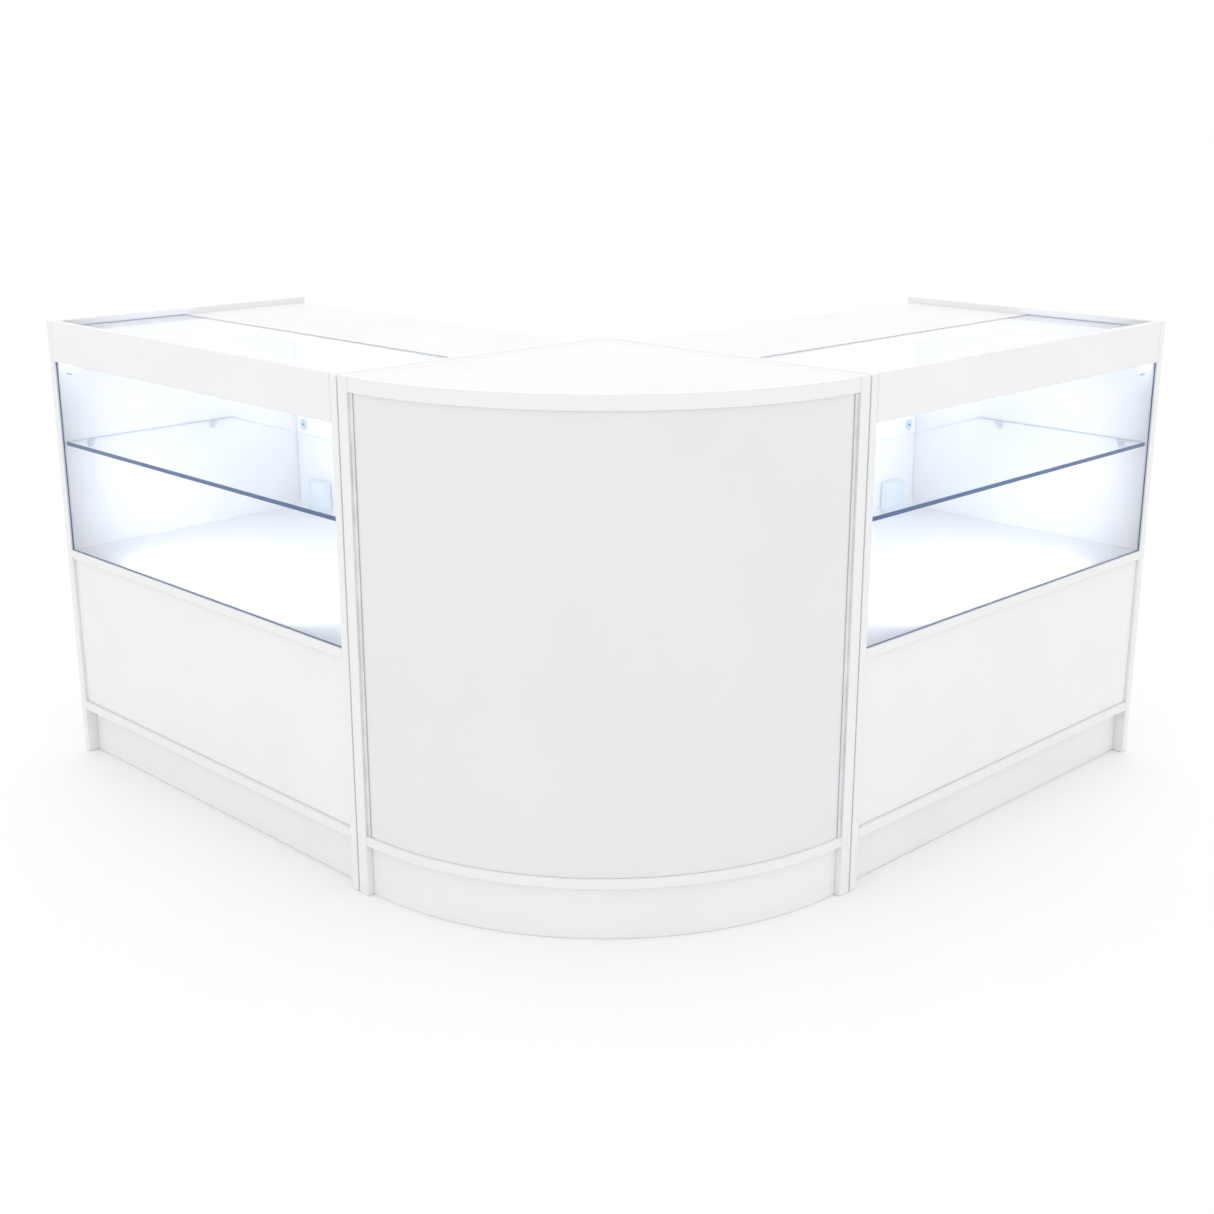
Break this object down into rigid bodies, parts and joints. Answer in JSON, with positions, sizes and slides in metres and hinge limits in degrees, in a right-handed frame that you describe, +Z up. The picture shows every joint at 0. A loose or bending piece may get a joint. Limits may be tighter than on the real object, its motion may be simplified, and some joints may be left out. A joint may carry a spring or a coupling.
{
  "type": "checkout counter",
  "caption": "L-shaped white shop counter: glass showcase counters with sliding rear doors either side of a quarter-round corner unit with a curved front.",
  "frame": {"origin": "on the floor, under the middle of the bounding box", "axes": "+Z up; the right counter runs from the corner unit along +X and the left counter along +Y; customers stand on the -X and -Y sides, staff inside the angle"},
  "size_m": [1.553, 1.553, 0.9],
  "materials": {
    "white_board": "white melamine-faced board, satin",
    "grey_laminate": "pale grey-white laminate on bent board, fine texture",
    "clear_glass": "clear toughened glass with blue-tinted ground edges",
    "aluminium": "satin anodised",
    "nickel": "satin nickel plate",
    "white_plastic": "white extruded or moulded plastic",
    "clear_plastic": "clear moulded plastic"
  },
  "bodies": {
    "counter_set": {"corner_base_board": "white_board", "corner_curved_panel": "grey_laminate", "corner_end_panel_left": "white_board", "corner_end_panel_right": "white_board", "corner_former": "white_board", "corner_plinth": "white_board", "corner_top": "white_board", "corner_trim_left": "aluminium", "corner_trim_right": "aluminium", "left_base_board": "white_board", "left_deck": "white_board", "left_door_track_bottom": "white_plastic", "left_door_track_top": "white_plastic", "left_end_panel_inner": "white_board", "left_end_panel_outer": "white_board", "left_fascia": "white_board", "left_front_glass": "clear_glass", "left_glass_shelf": "clear_glass", "left_led_channel": "aluminium", "left_led_driver": "white_plastic", "left_lower_front_panel": "white_board", "left_plinth": "white_board", "left_shelf_support_inner_back": "clear_plastic", "left_shelf_support_inner_front": "clear_plastic", "left_shelf_support_outer_back": "clear_plastic", "left_shelf_support_outer_front": "clear_plastic", "left_top_glass": "clear_glass", "left_worktop": "white_board", "right_base_board": "white_board", "right_deck": "white_board", "right_door_track_bottom": "white_plastic", "right_door_track_top": "white_plastic", "right_end_panel_inner": "white_board", "right_end_panel_outer": "white_board", "right_fascia": "white_board", "right_front_glass": "clear_glass", "right_glass_shelf": "clear_glass", "right_led_channel": "aluminium", "right_led_driver": "white_plastic", "right_lower_front_panel": "white_board", "right_plinth": "white_board", "right_shelf_support_inner_back": "clear_plastic", "right_shelf_support_inner_front": "clear_plastic", "right_shelf_support_outer_back": "clear_plastic", "right_shelf_support_outer_front": "clear_plastic", "right_top_glass": "clear_glass", "right_worktop": "white_board"},
    "right_outer_door": {"right_sliding_door_outer": "white_board", "right_finger_pull_outer": "nickel"},
    "right_inner_door": {"right_sliding_door_inner": "white_board", "right_finger_pull_inner": "nickel", "right_lock_body": "nickel"},
    "right_lock_plunger": {"right_lock_plunger": "nickel"},
    "left_outer_door": {"left_sliding_door_outer": "white_board", "left_finger_pull_outer": "nickel"},
    "left_inner_door": {"left_sliding_door_inner": "white_board", "left_finger_pull_inner": "nickel", "left_lock_body": "nickel"},
    "left_lock_plunger": {"left_lock_plunger": "nickel"}
  },
  "joints": [
    {"name": "right_outer_door_slide", "type": "slide", "parent": "counter_set", "child": "right_outer_door", "axis": [-1, 0, 0], "range_m": [0, 0.44]},
    {"name": "right_inner_door_slide", "type": "slide", "parent": "counter_set", "child": "right_inner_door", "axis": [1, 0, 0], "range_m": [0, 0.44]},
    {"name": "right_lock_push", "type": "slide", "parent": "right_inner_door", "child": "right_lock_plunger", "axis": [0, -1, 0], "range_m": [0, 0.008]},
    {"name": "left_outer_door_slide", "type": "slide", "parent": "counter_set", "child": "left_outer_door", "axis": [0, -1, 0], "range_m": [0, 0.44]},
    {"name": "left_inner_door_slide", "type": "slide", "parent": "counter_set", "child": "left_inner_door", "axis": [0, 1, 0], "range_m": [0, 0.44]},
    {"name": "left_lock_push", "type": "slide", "parent": "left_inner_door", "child": "left_lock_plunger", "axis": [-1, 0, 0], "range_m": [0, 0.008]}
  ]
}
